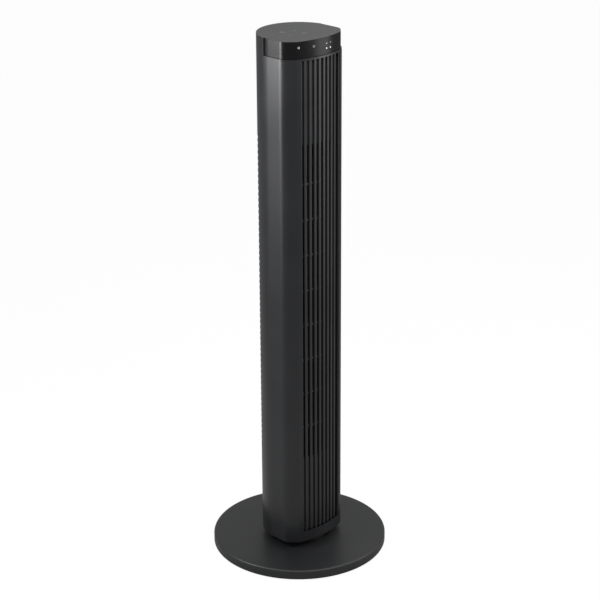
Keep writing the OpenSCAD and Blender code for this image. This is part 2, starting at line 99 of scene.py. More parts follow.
# Grilles
GRILLE_R = FRONT_R - mm(3.4)
RIB_COUNT = 8
RIB_PITCH = mm(9.85)
GROOVE_W = mm(4.7)
RIB_DEPTH = mm(7)
GROOVE_FLOOR = mm(3)
RIB_STEP = RIB_PITCH / GRILLE_R
RIB_ROUND = mm(1.1)
GRILLE_SIDE = WINDOW_HALF - PART_GAP
GRILLE_HALF = math.asin(GRILLE_SIDE / (GRILLE_R - GROOVE_FLOOR))
EDGE_WALL_T = mm(1.8)
EDGE_WALL_Y = mm(-52.8, -43.6)
BAR_COUNT = 8
BAR_FACE, BAR_BACK, BAR_DROP, BAR_H, BAR_NOSE = mm(4, 9, 5.5, 3, 1.4)
LOUVRE_PITCH = mm(10.3)
LOUVRE_H = mm(5)
LOUVRE_DEPTH = mm(3.5)
LOUVRE_NOSE = mm(1.3)
LOUVRE_FIRST = DUCT_TOP + mm(5.5)
LOUVRE_ROWS = int((ROOF_Z - DUCT_TOP - mm(8)) / LOUVRE_PITCH)
LOUVRE_SPAN = math.radians(104)
UPRIGHTS = 7
UPRIGHT_MARGIN = math.radians(1.5)
UPRIGHT_HALF_W, UPRIGHT_BACK, UPRIGHT_FACE = mm(1.1, 6, 2.4)
UPRIGHT_LOW, UPRIGHT_HIGH = DUCT_TOP + mm(4), ROOF_Z - mm(3)
REAR_WINDOW_Y = mm(35.6)

# Screws, their wells in the back and their pilot posts in front
SCREW_X, SCREW_SEAT_Y = mm(43, 34)
WELL_R, BOSS_R, SHANK_R, PILOT_R = mm(3.9, 5, 1.8, 1.7)
PILOT_LENGTH = mm(22)
WEB_START, WEB_END, WEB_HALF_T = mm(4.5, 1.5, 1.5)
SCREW_LEVELS = (BODY_Z + mm(42), BODY_Z + mm(84), OUTLET_TOP + mm(37), OUTLET_TOP + mm(117))


# ------------------------------------------------------------------ outlines in plan

def arc(centre, radius, start, end, steps):
    """Points of an arc about centre; angles in radians."""
    angles = [start + (end - start) * k / steps for k in range(steps + 1)]
    return [Vector((centre[0] + radius * math.cos(a), centre[1] + radius * math.sin(a)))
            for a in angles]


def side_fillet(inset, radius):
    """Centre of the fillet between the flat side and the slanted corner."""
    side, corner = BACK_R - inset - radius, CORNER_D - inset - radius
    return Vector((side, side - corner * math.sqrt(2)))


def front_fillet(inset, radius):
    """Centre of the fillet between the slanted corner and the bowed front."""
    d, r = CORNER_D - inset - radius, FRONT_R - inset - radius
    k = FRONT_ARC_Y / math.sqrt(2)
    c = d * d + math.sqrt(2) * d * FRONT_ARC_Y + FRONT_ARC_Y ** 2 - r * r
    s = -k + math.sqrt(k * k - c)
    return Vector((d - s, -d - s)) / math.sqrt(2)


def right_front(inset):
    """The outline from the parting line round the right side to the middle of the front."""
    blend, fillet = max(SIDE_BLEND - inset, mm(1)), max(FRONT_FILLET - inset, mm(0.4))
    back = BACK_R - inset
    seam = math.asin((SEAM_Y - PART_GAP / 2 - SHELL_Y) / back)
    c1, c2 = side_fillet(inset, blend), front_fillet(inset, fillet)
    centre = Vector((0, FRONT_ARC_Y))
    turn = math.atan2(c2.y - centre.y, c2.x)
    quarter = math.radians(45)
    edge = -math.acos(WINDOW_HALF / (FRONT_R - inset))
    points = arc((0, 0), back, seam, 0, 3)
    points += arc(c1, blend, 0, -quarter, 14)
    points += arc(c2, fillet, -quarter, turn, 5)
    points += arc(centre, FRONT_R - inset, turn, edge, 2)[1:]
    points += arc(centre, FRONT_R - inset, edge, -math.pi / 2, 16)[1:]
    return [p + Vector((0, SHELL_Y)) for p in points]


def front_path(inset):
    """The outline in front of the parting line, right to left."""
    right = right_front(inset)
    return right + [Vector((-p.x, p.y)) for p in reversed(right[:-1])]


def rear_path(inset):
    """The outline behind the parting line, right to left, with a point at each edge of the
    intake window."""
    back = BACK_R - inset
    seam = math.asin((SEAM_Y + PART_GAP / 2 - SHELL_Y) / back)
    window = math.asin((REAR_WINDOW_Y - SHELL_Y) / back)
    centre = (0, SHELL_Y)
    points = arc(centre, back, seam, window, 16)
    points += arc(centre, back, window, math.pi - window, 72)[1:]
    return points + arc(centre, back, math.pi - window, math.pi - seam, 16)[1:]


# ------------------------------------------------------------------ mesh building

# Degrees; a sharper edge is left unsmoothed
SHARP_ANGLE = 35


def make(name, verts, faces, smooth_angle=SHARP_ANGLE):
    """An object from vertices and faces, smooth except at edges sharper than smooth_angle."""
    mesh = bpy.data.meshes.new(name)
    mesh.from_pydata([tuple(v) for v in verts], [], faces)
    mesh.validate()
    mesh.polygons.foreach_set("use_smooth", [True] * len(mesh.polygons))
    mesh.set_sharp_from_angle(angle=math.radians(smooth_angle))
    piece = bpy.data.objects.new(name, mesh)
    bpy.context.scene.collection.objects.link(piece)
    return piece


def bevelled(piece, width, segments, angle):
    """Rounds the piece's edges that are sharper than angle, in degrees."""
    bevel = piece.modifiers.new("edge_rounding", "BEVEL")
    bevel.width = width
    bevel.segments = segments
    bevel.limit_method = "ANGLE"
    bevel.angle_limit = math.radians(angle)
    bevel.harden_normals = False
    weighted = piece.modifiers.new("even_shading", "WEIGHTED_NORMAL")
    weighted.keep_sharp = True
    return piece


def apply_modifiers(piece):
    """Bakes the modifiers of a piece into its mesh."""
    graph = bpy.context.evaluated_depsgraph_get()
    mesh = bpy.data.meshes.new_from_object(piece.evaluated_get(graph))
    piece.modifiers.clear()
    piece.data = mesh


def cut(piece, cutter):
    """Takes the cutter's space out of the piece and removes the cutter."""
    boolean = piece.modifiers.new("cut", "BOOLEAN")
    boolean.operation = "DIFFERENCE"
    boolean.object = cutter
    boolean.solver = "EXACT"
    apply_modifiers(piece)
    bpy.data.objects.remove(cutter)
    piece.data.set_sharp_from_angle(angle=math.radians(SHARP_ANGLE))


def drill(piece, holes):
    """Bores round holes along Y. Each is ((x, z), radius, from y, to y)."""
    bores = Build()
    for (x, z), radius, start, end in holes:
        bores.prism(arc((x, -z), radius, 0, 2 * math.pi, 32)[:-1], start, end)
    tool = bores.make("drill")
    tool.data.transform(Matrix.Rotation(-math.pi / 2, 4, "X"))
    cut(piece, tool)


class Build:
    """Gathers vertices and faces of several closed bodies in one mesh."""

    def __init__(self):
        self.verts, self.faces = [], []

    def add(self, verts, faces):
        """Adds one body; its faces count from its own first vertex."""
        start = len(self.verts)
        self.verts += list(verts)
        self.faces += [[start + i for i in f] for f in faces]

    def prism(self, outline, low, high):
        """A closed prism over a counter-clockwise outline."""
        n = len(outline)
        verts = [(p[0], p[1], z) for z in (low, high) for p in outline]
        faces = [[k, (k + 1) % n, n + (k + 1) % n, n + k] for k in range(n)]
        self.add(verts, faces + [list(range(n - 1, -1, -1)), list(range(n, 2 * n))])

    def block(self, low, high):
        """A box between two corners."""
        self.prism([(low[0], low[1]), (high[0], low[1]), (high[0], high[1]), (low[0], high[1])],
                   low[2], high[2])

    def bent_block(self, centre, r_in, r_out, start, end, low, high, steps):
        """A block bent round a centre."""
        outer = arc(centre, r_out, start, end, steps)
        inner = arc(centre, r_in, end, start, steps)
        self.prism(outer + inner, low, high)

    def ring(self, profile, steps, start=0.0, end=2 * math.pi, centre=(0, 0)):
        """A closed profile of (radius, z) points turned about an upright axis."""
        full = abs(end - start) > 2 * math.pi - 1e-6
        rows = steps if full else steps + 1
        n = len(profile)
        verts = []
        for k in range(rows):
            a = start + (end - start) * k / steps
            verts += [(centre[0] + r * math.cos(a), centre[1] + r * math.sin(a), z)
                      for r, z in profile]
        faces = []
        for k in range(steps):
            near, far = k * n, ((k + 1) % rows) * n
            faces += [[near + i, near + (i + 1) % n, far + (i + 1) % n, far + i]
                      for i in range(n)]
        if not full:
            faces += [list(range(n)), [(rows - 1) * n + i for i in range(n - 1, -1, -1)]]
        self.add(verts, faces)

    def make(self, name, smooth_angle=SHARP_ANGLE):
        """The gathered bodies as one object, with all faces outward."""
        piece = make(name, self.verts, self.faces, smooth_angle)
        tidy = bmesh.new()
        tidy.from_mesh(piece.data)
        bmesh.ops.recalc_face_normals(tidy, faces=tidy.faces)
        tidy.to_mesh(piece.data)
        tidy.free()
        piece.data.set_sharp_from_angle(angle=math.radians(smooth_angle))
        return piece


def shell(name, path_at, levels, keep, thickness=WALL):
    """A wall of even thickness. path_at(inset) is its outer line, levels are (z, inset) pairs, and
    keep(point, low, high) says whether a patch belongs to it."""
    rows = [[(p.x, p.y, z) for p in path_at(inset)] for z, inset in levels]
    n = len(rows[0])
    verts = [v for row in rows for v in row]
    faces = []
    for j in range(len(rows) - 1):
        for k in range(n - 1):
            x = (rows[j][k][0] + rows[j][k + 1][0]) / 2
            y = (rows[j][k][1] + rows[j][k + 1][1]) / 2
            if keep(Vector((x, y)), levels[j][0], levels[j + 1][0]):
                faces.append([j * n + k, (j + 1) * n + k, (j + 1) * n + k + 1, j * n + k + 1])
    piece = make(name, verts, faces)
    tidy = bmesh.new()
    tidy.from_mesh(piece.data)
    loose = [v for v in tidy.verts if not v.link_faces]
    bmesh.ops.delete(tidy, geom=loose, context="VERTS")
    tidy.normal_update()
    outward = sum(f.normal.xy.dot(f.calc_center_median().xy) * f.calc_area() for f in tidy.faces)
    if outward < 0:
        bmesh.ops.reverse_faces(tidy, faces=tidy.faces)
    tidy.to_mesh(piece.data)
    tidy.free()
    thick = piece.modifiers.new("wall", "SOLIDIFY")
    thick.thickness = thickness
    thick.offset = -1
    thick.use_even_offset = True
    thick.use_quality_normals = True
    apply_modifiers(piece)
    piece.data.set_sharp_from_angle(angle=math.radians(SHARP_ANGLE))
    return piece


# ------------------------------------------------------------------ materials

GRAIN_DEPTH = mm(0.05)
# Most values of a noise texture lie between these
NOISE_LOW, NOISE_HIGH = 0.3, 0.7


def node_material(name):
    """A new material with its nodes and links."""
    material = bpy.data.materials.new(name)
    material.use_nodes = True
    return material, material.node_tree.nodes, material.node_tree.links


def noise(nodes, links, coords, scale, detail, roughness=0.5):
    """Values of a noise texture."""
    texture = nodes.new("ShaderNodeTexNoise")
    texture.inputs["Scale"].default_value = scale
    texture.inputs["Detail"].default_value = detail
    texture.inputs["Roughness"].default_value = roughness
    links.new(coords, texture.inputs["Vector"])
    return texture.outputs["Fac"]


def ranged(nodes, links, value, low, high):
    """Spreads a noise from low to high."""
    node = nodes.new("ShaderNodeMapRange")
    node.inputs["From Min"].default_value = NOISE_LOW
    node.inputs["From Max"].default_value = NOISE_HIGH
    node.inputs["To Min"].default_value = low
    node.inputs["To Max"].default_value = high
    links.new(value, node.inputs["Value"])
    return node.outputs["Result"]


def tinted(nodes, links, value, colour_a, colour_b):
    """Turns a noise into a run of colours."""
    ramp = nodes.new("ShaderNodeValToRGB")
    ramp.color_ramp.elements[0].position = NOISE_LOW
    ramp.color_ramp.elements[1].position = NOISE_HIGH
    ramp.color_ramp.elements[0].color = (*colour_a, 1)
    ramp.color_ramp.elements[1].color = (*colour_b, 1)
    links.new(value, ramp.inputs["Fac"])
    return ramp.outputs["Color"]


def bumped(nodes, links, height, strength):
    """A normal with the grain of height."""
    bump = nodes.new("ShaderNodeBump")
    bump.inputs["Strength"].default_value = strength
    bump.inputs["Distance"].default_value = GRAIN_DEPTH
    links.new(height, bump.inputs["Height"])
    return bump.outputs["Normal"]


def moulded(name, colour, rough, spread=0.06, grain=1.0, specular=0.5):
    """Moulded plastic: fine spark-eroded grain, with slow changes in tone and gloss."""
    material, nodes, links = node_material(name)
    shader = nodes["Principled BSDF"]
    coords = nodes.new("ShaderNodeTexCoord").outputs["Object"]
    slow = noise(nodes, links, coords, scale=9.0, detail=3.0)
    fine = noise(nodes, links, coords, scale=1400.0, detail=2.0, roughness=0.6)
    darker = tuple(c * 0.88 for c in colour)
    lighter = tuple(c * 1.1 for c in colour)
    links.new(tinted(nodes, links, slow, darker, lighter), shader.inputs["Base Color"])
    links.new(ranged(nodes, links, slow, rough - spread, rough + spread),
              shader.inputs["Roughness"])
    links.new(bumped(nodes, links, fine, 0.25 * grain), shader.inputs["Normal"])
    shader.inputs["Specular IOR Level"].default_value = specular
    return material


def metal(name, colour, rough, stretch=(1, 1, 30)):
    """Metal with fine drawn lines and uneven polish."""
    material, nodes, links = node_material(name)
    shader = nodes["Principled BSDF"]
    coords = nodes.new("ShaderNodeTexCoord").outputs["Object"]
    mapping = nodes.new("ShaderNodeMapping")
    mapping.inputs["Scale"].default_value = stretch
    links.new(coords, mapping.inputs["Vector"])
    lines = noise(nodes, links, mapping.outputs["Vector"], scale=160.0, detail=4.0)
    cloud = noise(nodes, links, coords, scale=30.0, detail=3.0)
    links.new(tinted(nodes, links, cloud, tuple(c * 0.85 for c in colour), colour),
              shader.inputs["Base Color"])
    links.new(ranged(nodes, links, lines, rough - 0.08, rough + 0.12), shader.inputs["Roughness"])
    links.new(bumped(nodes, links, lines, 0.15), shader.inputs["Normal"])
    shader.inputs["Metallic"].default_value = 1.0
    return material


def glowing(name, colour, strength):
    """A lit display segment with a slightly uneven glow."""
    material, nodes, links = node_material(name)
    shader = nodes["Principled BSDF"]
    coords = nodes.new("ShaderNodeTexCoord").outputs["Object"]
    cloud = noise(nodes, links, coords, scale=400.0, detail=2.0)
    links.new(tinted(nodes, links, cloud, tuple(c * 0.9 for c in colour), colour),
              shader.inputs["Emission Color"])
    shader.inputs["Base Color"].default_value = (0.1, 0.1, 0.1, 1)
    shader.inputs["Emission Strength"].default_value = strength
    shader.inputs["Roughness"].default_value = 0.4
    return material


def board(name):
    """Circuit board: green solder mask over a faint pattern of tracks."""
    material, nodes, links = node_material(name)
    shader = nodes["Principled BSDF"]
    coords = nodes.new("ShaderNodeTexCoord").outputs["Object"]
    tracks = nodes.new("ShaderNodeTexBrick")
    tracks.inputs["Scale"].default_value = 220.0
    tracks.inputs["Mortar Size"].default_value = 0.03
    tracks.inputs["Color1"].default_value = (0.01, 0.09, 0.04, 1)
    tracks.inputs["Color2"].default_value = (0.012, 0.11, 0.05, 1)
    tracks.inputs["Mortar"].default_value = (0.05, 0.22, 0.1, 1)
    links.new(coords, tracks.inputs["Vector"])
    links.new(tracks.outputs["Color"], shader.inputs["Base Color"])
    links.new(bumped(nodes, links, tracks.outputs["Fac"], 0.3), shader.inputs["Normal"])
    shader.inputs["Roughness"].default_value = 0.35
    return material


HOUSING = moulded("housing_black", (0.012, 0.0125, 0.014), 0.32, spread=0.04, grain=0.6)
GRILLE = moulded("grille_black", (0.014, 0.0145, 0.016), 0.42)
BARS = moulded("bar_satin", (0.09, 0.09, 0.093), 0.35)
BASE = moulded("base_black", (0.010, 0.0105, 0.0115), 0.42, spread=0.03, grain=0.3)
TOP = moulded("top_satin", (0.05, 0.051, 0.053), 0.45)
BAND = moulded("band_gloss", (0.004, 0.004, 0.0045), 0.26, spread=0.03, grain=0.1,
               specular=0.25)
# Duct plastic: its own grey, raised further as painted fill light in the recesses seen through the
# grille
DUCT_GREY_PAINTED_FILL = moulded("duct_grey_painted_fill", (0.16, 0.16, 0.165), 0.5)
RUBBER = moulded("rubber_black", (0.012, 0.012, 0.012), 0.8, grain=2.0, specular=0.25)
ACETAL = moulded("acetal_white", (0.72, 0.70, 0.64), 0.35, grain=0.4)
PARTS = moulded("component_body", (0.10, 0.08, 0.05), 0.5)
STEEL = metal("zinc_steel", (0.62, 0.63, 0.66), 0.32)
COPPER = metal("copper_winding", (0.72, 0.32, 0.16), 0.38, (60, 60, 1))
BRONZE = metal("sintered_bronze", (0.60, 0.40, 0.18), 0.45, (1, 1, 1))
ALUMINIUM = metal("turned_aluminium", (0.80, 0.81, 0.82), 0.3)
BOARD = board("circuit_board")
GLOW = glowing("display_glow", (0.95, 0.97, 1.0), 0.9)
DIM_GLOW = glowing("display_dim_glow", (0.95, 0.97, 1.0), 0.13)
PRINT = moulded("printed_mark", (0.20, 0.20, 0.205), 0.5, grain=0.2)


def dress(piece, body, material, slot, *replaced):
    """Gives a piece its material and body, and hides what it stands for. The slot argument is not
    used.
    """
    piece.data.materials.clear()
    piece.data.materials.append(material)
    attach(piece, body)
    if replaced:
        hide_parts(*replaced)
    return piece


# ------------------------------------------------------------------ base

def base_disc():
    """Moulded disc with a rounded rim, a soft lower edge and a bored mains inlet."""
    wall, rim, lip = mm(2.5, 4, 0.8)
    hole, inlet_r, inlet_depth = mm(40.2, 4.7, 15)
    profile = [(hole, BASE_TOP - wall), (BASE_R - wall, BASE_TOP - wall),
               (BASE_R - wall, BASE_SKIRT_Z)]
    profile += [tuple(p) for p in arc((BASE_R - lip, BASE_SKIRT_Z + lip), lip, -math.pi / 2, 0, 4)]
    profile += [tuple(p) for p in arc((BASE_R - rim, BASE_TOP - rim), rim, 0, math.pi / 2, 12)]
    profile += [(BASE_R * share, BASE_TOP) for share in (0.75, 0.5)]
    profile += [(hole, BASE_TOP)]
    build = Build()
    build.ring(profile, steps=256)
    piece = build.make("base_shell")
    inlet_low, inlet_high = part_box("cord_grommet")
    inlet_z = (inlet_low.z + inlet_high.z) / 2
    drill(piece, [((0, inlet_z), inlet_r, BASE_R - inlet_depth, BASE_R * 1.1)])
    return dress(piece, "base", BASE, "base_plastic", "base_cover")


def feet():
    """Six soft feet with a rounded tread and a stud each."""
    low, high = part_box("rubber_feet")
    count = 6
    radius, stud, thick = mm(9, 2.9, 3)
    tread = (mm(2.2, 0), mm(1, 0.3), mm(0.2, 1), mm(0, 1.8))
    orbit = high.x - radius
    profile = [(0.0, low.z)]
    profile += [(radius - inset, low.z + rise) for inset, rise in tread]
    profile += [(radius, low.z + thick), (stud, low.z + thick), (stud, high.z), (0.0, high.z)]
    build = Build()
    for k in range(count):
        a = k * 2 * math.pi / count
        build.ring(profile, steps=40, centre=(orbit * math.cos(a), orbit * math.sin(a)))
    piece = build.make("soft_feet")
    return dress(piece, "base", RUBBER, "rubber", "rubber_feet")


# ------------------------------------------------------------------ tower shells

# Slack in comparing levels
SLACK = mm(0.1)


def rounded_foot():
    """(z, inset) pairs for the rounded lower edge of the tower."""
    steps = 6
    turns = [math.pi / 2 * k / steps for k in range(steps + 1)]
    return [(BODY_Z + FOOT_R * (1 - math.sin(a)), FOOT_R * (1 - math.cos(a)))
            for a in reversed(turns)]


def front_shell():
    """Front housing: flat sides, slanted corners, the grille's window and a rounded foot."""
    levels = rounded_foot()
    levels += [(z, 0.0) for z in (RIB_Z, WINDOW_TOP, HEAD_Z)]
    front_y = mm(-20)

    def keep(p, low, high):
        in_rows = low > RIB_Z - SLACK and high < WINDOW_TOP + SLACK
        return not (in_rows and p.y < front_y and abs(p.x) < WINDOW_HALF)

    piece = shell("front_shell", front_path, levels, keep)
    bevelled(piece, mm(0.5), 3, 50)
    return dress(piece, "tower", HOUSING, "housing_plastic", "front_housing")


def rear_shell():
    """Rear housing with the intake window, the handle opening and eight screw wells."""
    window_low, window_high = DUCT_TOP + mm(3), ROOF_Z - mm(2)
    levels = rounded_foot()
    levels += [(z, 0.0) for z in (window_low, window_high, RIM_Z)]

    def keep(p, low, high):
        in_rows = low > window_low - SLACK and high < window_high + SLACK
        return not (in_rows and p.y > REAR_WINDOW_Y)

    piece = shell("rear_shell", rear_path, levels, keep)
    opening = Build()
    edge, inside, outside, well_end = mm(2.5, 30, 90, 70)
    opening.block((CUP_LOW.x + edge, inside, CUP_LOW.z + edge),
                  (CUP_HIGH.x - edge, outside, CUP_HIGH.z - edge))
    cut(piece, opening.make("handle_cutter"))
    drill(piece, [((side * SCREW_X, z), WELL_R, SCREW_SEAT_Y, well_end)
                  for z in SCREW_LEVELS for side in (-1, 1)])
    bevelled(piece, mm(0.45), 2, 50)
    return dress(piece, "tower", HOUSING, "housing_plastic", "rear_housing")


def screw_bosses():
    """Sleeves in the two housings for the long screws: bored posts that end in the back wall, and
    pilot posts with a web to the side wall in front."""
    build = Build()
    steps = 32
    turns = [2 * math.pi * k / steps for k in range(steps)]
    start = SEAM_Y + PART_GAP / 2
    middle_of_wall = BACK_R - WALL / 2

    def ring(centre, radius, y):
        """Points round the screw's axis; y None puts them in the back wall."""
        points = []
        for a in turns:
            x = centre[0] + radius * math.cos(a)
            depth = SHELL_Y + math.sqrt(middle_of_wall ** 2 - x * x) if y is None else y
            points.append((x, depth, centre[1] + radius * math.sin(a)))
        return points

    def sleeve(rings):
        """A closed body over rings that run along its outside and back along its inside."""
        verts = [p for row in rings for p in row]
        faces = []
        for j in range(len(rings)):
            near, far = j * steps, (j + 1) % len(rings) * steps
            faces += [[near + k, near + (k + 1) % steps, far + (k + 1) % steps, far + k]
                      for k in range(steps)]
        build.add(verts, faces)

    for z in SCREW_LEVELS:
        for side in (-1, 1):
            centre = (side * SCREW_X, z)
            sleeve([ring(centre, SHANK_R, start), ring(centre, BOSS_R, start),
                    ring(centre, BOSS_R, None), ring(centre, WELL_R, None),
                    ring(centre, WELL_R, SCREW_SEAT_Y), ring(centre, SHANK_R, SCREW_SEAT_Y)])
            back = SEAM_Y - PART_GAP / 2
            front = back - PILOT_LENGTH
            sleeve([ring(centre, PILOT_R, front), ring(centre, BOSS_R, front),
                    ring(centre, BOSS_R, back), ring(centre, PILOT_R, back)])
            web_x = sorted((side * (SCREW_X + WEB_START), side * (BACK_R - WEB_END)))
            build.block((web_x[0], front, z - WEB_HALF_T), (web_x[1], back, z + WEB_HALF_T))
    piece = build.make("screw_bosses")
    return dress(piece, "tower", HOUSING, "housing_plastic")


def rib_section(angle):
    """Cross-section of one upright rib, in plan."""
    steps = 5
    half = (RIB_PITCH - GROOVE_W) / 2
    flat = [Vector((-half, -RIB_DEPTH))]
    flat += arc((-half + RIB_ROUND, -RIB_ROUND), RIB_ROUND, math.pi, math.pi / 2, steps)
    flat += arc((half - RIB_ROUND, -RIB_ROUND), RIB_ROUND, math.pi / 2, 0, steps)
    flat += [Vector((half, -RIB_DEPTH))]
    out = Vector((math.sin(angle), -math.cos(angle)))
    along = Vector((math.cos(angle), math.sin(angle)))
    return [BOW + out * (GRILLE_R + p.y) + along * p.x for p in reversed(flat)]


def nosed_profile(inner, outer, low, high, nose, steps):
    """(radius, z) section of a level bar with a rounded outer edge."""
    profile = [(inner, low), (outer - nose, low)]
    profile += [tuple(p) for p in arc((outer - nose, low + nose), nose, -math.pi / 2, 0, steps)[1:]]
    profile += [tuple(p) for p in arc((outer - nose, high - nose), nose, 0, math.pi / 2, steps)]
    return profile + [(inner, high)]


# The grille's middle, as an angle in plan
FRONT = -math.pi / 2


def front_ribs():
    """Upright ribs in a frame, closed behind at both ends."""
    build = Build()
    back, face = GRILLE_R - RIB_DEPTH, GRILLE_R - GROOVE_FLOOR
    lap = mm(1)
    for k in range(RIB_COUNT):
        build.prism(rib_section((k - (RIB_COUNT - 1) / 2) * RIB_STEP), RIB_Z, RIB_TOP)
    for low, high in ((RIB_Z, OUTLET_Z), (OUTLET_TOP, RIB_TOP)):
        build.bent_block(BOW, back, face, FRONT - GRILLE_HALF, FRONT + GRILLE_HALF, low, high, 40)
    for side in (-1, 1):
        start, end = sorted((FRONT + side * RIB_COUNT / 2 * RIB_STEP, FRONT + side * GRILLE_HALF))
        build.bent_block(BOW, back, face, start, end, OUTLET_Z - lap, OUTLET_TOP + lap, 4)
        x = sorted((side * GRILLE_SIDE, side * (GRILLE_SIDE - EDGE_WALL_T)))
        build.block((x[0], EDGE_WALL_Y[0], RIB_Z), (x[1], EDGE_WALL_Y[1], RIB_TOP))
    piece = build.make("front_ribs", 40)
    bevelled(piece, mm(0.3), 2, 60)
    dress(piece, "tower", GRILLE, "housing_plastic", "front_grille")


def outlet_bars():
    """Level bars with rounded noses, evenly spaced across the outlet."""
    build = Build()
    pitch = (OUTLET_TOP - OUTLET_Z) / (BAR_COUNT + 1)
    for k in range(1, BAR_COUNT + 1):
        z = OUTLET_Z + k * pitch - BAR_DROP
        profile = nosed_profile(GRILLE_R - BAR_BACK, GRILLE_R - BAR_FACE, z, z + BAR_H, BAR_NOSE, 5)
        build.ring(profile, 40, FRONT - GRILLE_HALF, FRONT + GRILLE_HALF, BOW)
    dress(build.make("outlet_bars", 40), "tower", BARS, "housing_plastic")


def rear_louvres():
    """Rows of bowed louvres on their uprights."""
    build = Build()
    start = (math.pi - LOUVRE_SPAN) / 2
    centre = (0, SHELL_Y)
    for k in range(LOUVRE_ROWS):
        low = LOUVRE_FIRST + k * LOUVRE_PITCH
        profile = nosed_profile(BACK_R - LOUVRE_DEPTH, BACK_R, low, low + LOUVRE_H, LOUVRE_NOSE, 4)
        build.ring(profile, 64, start, start + LOUVRE_SPAN, centre)
    half = UPRIGHT_HALF_W / BACK_R
    for k in range(UPRIGHTS):
        a = start + UPRIGHT_MARGIN + k * (LOUVRE_SPAN - 2 * UPRIGHT_MARGIN) / (UPRIGHTS - 1)
        build.bent_block(centre, BACK_R - UPRIGHT_BACK, BACK_R - UPRIGHT_FACE, a - half, a + half,
                         UPRIGHT_LOW, UPRIGHT_HIGH, 2)
    piece = build.make("rear_louvres", 40)
    return dress(piece, "tower", HOUSING, "housing_plastic", "rear_grille")


# ------------------------------------------------------------------ head

def head_path(inset):
    """The head's outline in front of the parting line."""
    return front_path(HEAD_INSET + inset)


def display_band():
    """Gloss band round the head."""
    gap, thickness = mm(0.1, 2.2)
    levels = [(z, 0.0) for z in (HEAD_Z + gap, RIM_Z)]
    piece = shell("display_band", head_path, levels, lambda p, low, high: True, thickness)
    bevelled(piece, mm(0.25), 2, 50)
    return dress(piece, "tower", BAND, "display_gloss", "display_window")


def top_plate():
    """Top face: a thin softened rim over the band and the back, and a step that drops inside."""
    front = head_path(0.0)
    rear = list(reversed(rear_path(0.0)))
    build = Build()
    build.prism(list(reversed(front + rear)), RIM_Z, TOTAL_H - MARK_RISE)
    plate = build.make("top_plate")
    bevelled(plate, mm(0.5), 3, 50)
    dress(plate, "tower", TOP, "top_satin", "top_cover")
    inner = HEAD_INSET + mm(2.4)
    step = Build()
    step.prism(list(reversed(front_path(inner) + list(reversed(rear_path(inner))))),
               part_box("top_cover")[0].z, RIM_Z + mm(0.1))
    dress(step.make("top_step"), "tower", TOP, "top_satin")


def on_band(build, shapes, across, z):
    """Lays thin flat shapes on the bowed front of the band. Each is a list of (x, z) points about
    (across, z)."""
    radius = FRONT_R - HEAD_INSET
    sunk, lift = mm(-0.2, 0.06)
    for shape in shapes:
        n = len(shape)
        verts = []
        for depth in (sunk, lift):
            for x, dz in shape:
                a = math.asin((across + x) / radius)
                r = radius + depth
                verts.append((r * math.sin(a), BOW.y - r * math.cos(a), z + dz))
        faces = [[k, (k + 1) % n, n + (k + 1) % n, n + k] for k in range(n)]
        build.add(verts, faces + [list(range(n - 1, -1, -1)), list(range(n, 2 * n))])


def bar_shape(x0, z0, x1, z1, width):
    """A straight stroke with pointed ends, as (x, z) points."""
    a, b = Vector((x0, z0)), Vector((x1, z1))
    along = (b - a).normalized() * width / 2
    side = Vector((-along.y, along.x))
    return [tuple(p) for p in (a, a + along + side, b - along + side, b, b - along - side,
                               a + along - side)]


def open_ring(centre_z, radius, stroke, start, end, steps=24):
    """A bent stroke about (0, centre_z); start and end in degrees."""
    outer = arc((0, centre_z), radius + stroke / 2, math.radians(start), math.radians(end), steps)
    inner = arc((0, centre_z), radius - stroke / 2, math.radians(end), math.radians(start), steps)
    return [tuple(p) for p in outer + inner]


def display_marks():
    """Lit marks on the band: a fan sign, a dim ring and four small lamps."""
    middle = (HEAD_Z + RIM_Z) / 2
    sign_x, sign_z = mm(-46.3), middle + mm(4.6)
    ring_x, ring_z = mm(-18.9), middle + mm(3.6)
    dot_z, dash_z = middle - mm(4.2), middle + mm(3.8)
    dash_x, dash_rise, dash_w = mm(1.7, 0.4, 0.7)
    bright, dim = Build(), Build()
    blades = [open_ring(0, mm(1.3), mm(0.9), a, a + 70, 6) for a in (20, 140, 260)]
    on_band(bright, blades, sign_x, sign_z)
    on_band(dim, [open_ring(0, mm(1.6), mm(1.2), 110, 430)], ring_x, ring_z)
    for across in mm(8.8, 18.2):
        on_band(bright, [open_ring(0, mm(0.7), mm(1.4), 0, 350)], across, dot_z)
        dash = bar_shape(-dash_x, -dash_rise, dash_x, dash_rise, dash_w)
        on_band(bright, [dash], across, dash_z)
    dress(bright.make("display_marks"), "tower", GLOW, "display_gloss")
    dress(dim.make("display_dim_marks"), "tower", DIM_GLOW, "display_gloss")


# Touch points on the top face, the switch nearest the display
TOUCH_POINTS = {"timer": mm(-20, 12), "more": mm(2, 5), "power": mm(0, -18), "less": mm(-28, -15)}


def touch_marks():
    """Faint printed signs on the top face."""
    build = Build()
    low, high = TOTAL_H - mm(0.3), TOTAL_H
    line, sign_r, inner_r, sign_w = mm(0.8, 3.6, 1.6, 7)
    stub, stub_y = mm(3.1, 2)

    def ring(point, radius, start, end):
        outer = arc(point, radius + line / 2, start, end, 32)
        inner = arc(point, radius - line / 2, end, start, 32)
        build.prism(outer + inner, low, high)

    def bar(point, dx, dy):
        build.block((point[0] - dx / 2, point[1] - dy / 2, low),
                    (point[0] + dx / 2, point[1] + dy / 2, high))

    power, more = TOUCH_POINTS["power"], TOUCH_POINTS["more"]
    ring(power, sign_r, math.radians(120), math.radians(420))
    bar((power[0], power[1] + mm(3)), line, mm(4))
    bar(more, sign_w, line)
    for side in (1, -1):
        bar((more[0], more[1] + side * stub_y), line, stub)
    bar(TOUCH_POINTS["less"], sign_w, line)
    for radius in (inner_r, sign_r):
        ring(TOUCH_POINTS["timer"], radius, math.radians(20), math.radians(340))
    piece = build.make("touch_marks")
    return dress(piece, "tower", PRINT, "top_satin")


# ------------------------------------------------------------------ carried-over CAD pieces

